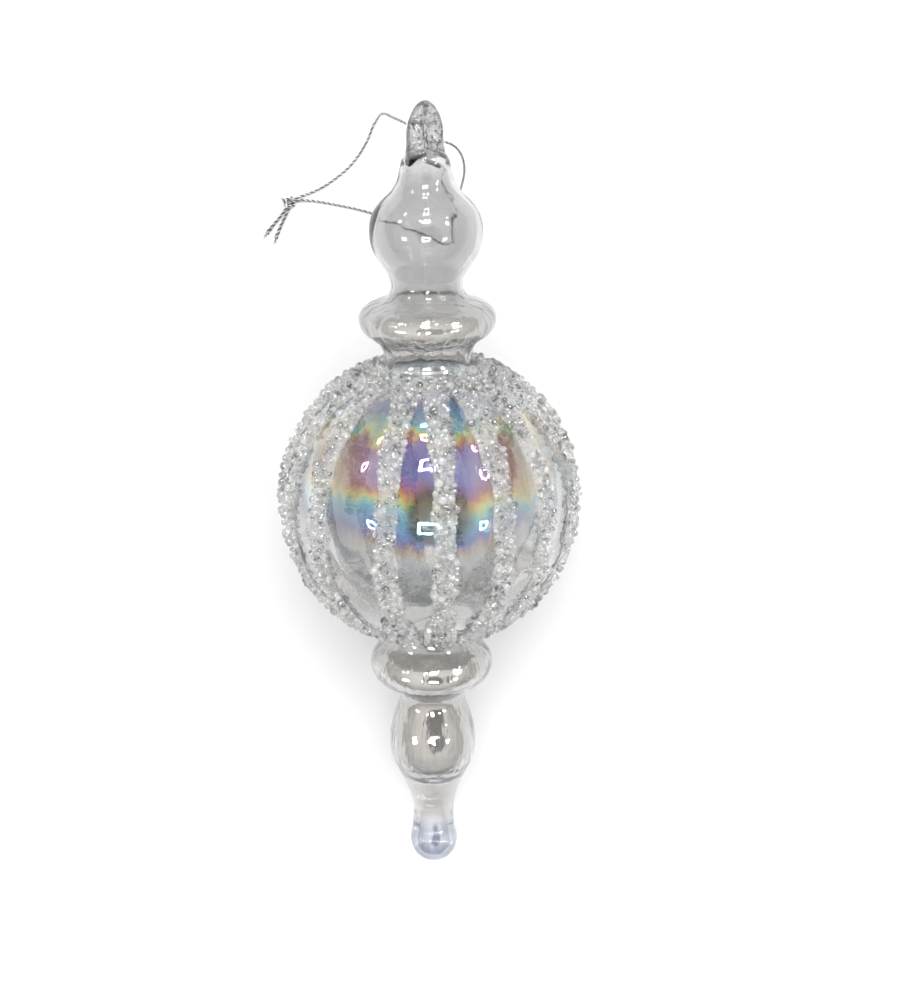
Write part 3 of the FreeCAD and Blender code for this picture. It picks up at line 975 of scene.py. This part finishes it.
BAND_LENGTH = 2 * BAND_REACH * BALL_R
RING_LENGTH = 2 * math.pi * BALL_R * math.sin((RING_INNER + RING_OUTER) / 2)
RING_WIDTH = (RING_OUTER - RING_INNER) * BALL_R

for number, angle in enumerate(BAND_ANGLES, 1):
    lies = band_place(angle, number * 3.1)
    glue_strip("glue_strip_%02d" % number, lies, 110, 9, False, ["glue_line_%02d" % number])
    beads("beads_on_band_%02d" % number, lies, BAND_LENGTH, BAND_W, False,
          "bead_band_%02d" % number, number)
for name, side in (("top", 1), ("bottom", -1)):
    lies = ring_place(side, side * 4.0)
    glue_strip("glue_round_%s" % name, lies, 150, 9, True, ["glue_ring_%s" % name])
    beads("beads_on_ring_%s" % name, lies, RING_LENGTH, RING_WIDTH, True, "bead_ring_%s" % name, 40 + side)


# Floor and light

floor_mesh = bpy.data.meshes.new("floor")
FLOOR_HALF = 4.0         # metres
floor_mesh.from_pydata([(-FLOOR_HALF, -FLOOR_HALF, 0), (FLOOR_HALF, -FLOOR_HALF, 0),
                        (FLOOR_HALF, FLOOR_HALF, 0), (-FLOOR_HALF, FLOOR_HALF, 0)], [], [(0, 1, 2, 3)])
floor_mesh.materials.append(pale_floor())
floor = bpy.data.objects.new("floor", floor_mesh)
bpy.context.scene.collection.objects.link(floor)


def area_light(name, place, width, depth, radiance, aim=BALL_CENTRE):
    """Rectangular lamp of a given surface brightness that faces a point."""
    data = bpy.data.lights.new(name, "AREA")
    data.shape = "RECTANGLE"
    data.size, data.size_y = width, depth
    data.energy = radiance * math.pi * width * depth
    lamp = bpy.data.objects.new(name, data)
    bpy.context.scene.collection.objects.link(lamp)
    lamp.location = place
    lamp.rotation_euler = (Vector(aim) - Vector(place)).to_track_quat("-Z", "Y").to_euler()
    lamp.visible_camera = False
    return lamp


# A broad soft light overhead that adds to the sky's light on the floor and doesn't show in the glass
overhead = area_light("overhead", (0.3, 0.4, 2.2), 2.4, 2.4, 1.4)
overhead.visible_glossy = False
overhead.visible_transmission = False

CEILING = 2.3
BAR = 0.07               # width of each of a fixture's four bars
BAR_RADIANCE = 120.0
FIXTURE_WIDTH, FIXTURE_DEPTH = 0.55, 0.40
BAR_ASIDE, BAR_AHEAD = 0.25, 0.18        # from a fixture's middle to its bars
FRAME_LIGHTS = [          # middle of each ceiling fixture, in metres
    (0.0, 1.0), (0.0, 2.4), (0.0, 3.6), (-3.1, 1.5), (-2.3, 2.9), (2.3, 0.9), (2.2, 2.2),
    (2.2, -1.2), (-2.6, -1.2), (0.0, -1.0)]
for number, (x, y) in enumerate(FRAME_LIGHTS):
    for side in (-1, 1):
        bar_aside = ((BAR_ASIDE * side, 0), (BAR, FIXTURE_DEPTH))
        bar_ahead = ((0, BAR_AHEAD * side), (FIXTURE_WIDTH, BAR))
        for shift, size in (bar_aside, bar_ahead):
            place = Vector((x + shift[0], y + shift[1], CEILING))
            below = place - Vector((0, 0, 1))
            bar = area_light("fixture_%d" % number, place, *size, BAR_RADIANCE, aim=below)
            bar.visible_diffuse = False

world = bpy.data.worlds.new("room")
bpy.context.scene.world = world
world.use_nodes = True
SKY = [(0.0, 0.32), (0.35, 0.50), (0.75, 0.85), (1.0, 1.0)]     # upward share of a direction, brightness
SKY_STRENGTH = 1.45
SHADE_FROM = (0.14, -0.26, 0.955)        # the sky is darker around this direction, as if someone leant over
SHADE_EDGE, SHADE_MIDDLE, SHADE_LEFT = 0.865, 0.945, 0.12
tree = world.node_tree
direction = tree.nodes.new("ShaderNodeTexCoord").outputs["Generated"]
upward = tree.nodes.new("ShaderNodeSeparateXYZ")
tree.links.new(direction, upward.inputs[0])
sky = tree.nodes.new("ShaderNodeValToRGB")
for place, _ in SKY[1:-1]:
    sky.color_ramp.elements.new(place)
for element, (place, level) in zip(sky.color_ramp.elements, SKY):
    element.position = place
    element.color = (level, level, level, 1)
tree.links.new(upward.outputs["Z"], sky.inputs[0])
towards = tree.nodes.new("ShaderNodeVectorMath")
towards.operation = "DOT_PRODUCT"
tree.links.new(direction, towards.inputs[0])
towards.inputs[1].default_value = SHADE_FROM
shade = tree.nodes.new("ShaderNodeMapRange")
shade.interpolation_type = "SMOOTHSTEP"
tree.links.new(towards.outputs["Value"], shade.inputs["Value"])
for name, number in (("From Min", SHADE_EDGE), ("From Max", SHADE_MIDDLE), ("To Min", SKY_STRENGTH),
                     ("To Max", SKY_STRENGTH * SHADE_LEFT)):
    shade.inputs[name].default_value = number
background = tree.nodes["Background"]
tree.links.new(sky.outputs["Color"], background.inputs["Color"])
tree.links.new(shade.outputs["Result"], background.inputs["Strength"])
bpy.context.scene.view_settings.view_transform = "Standard"
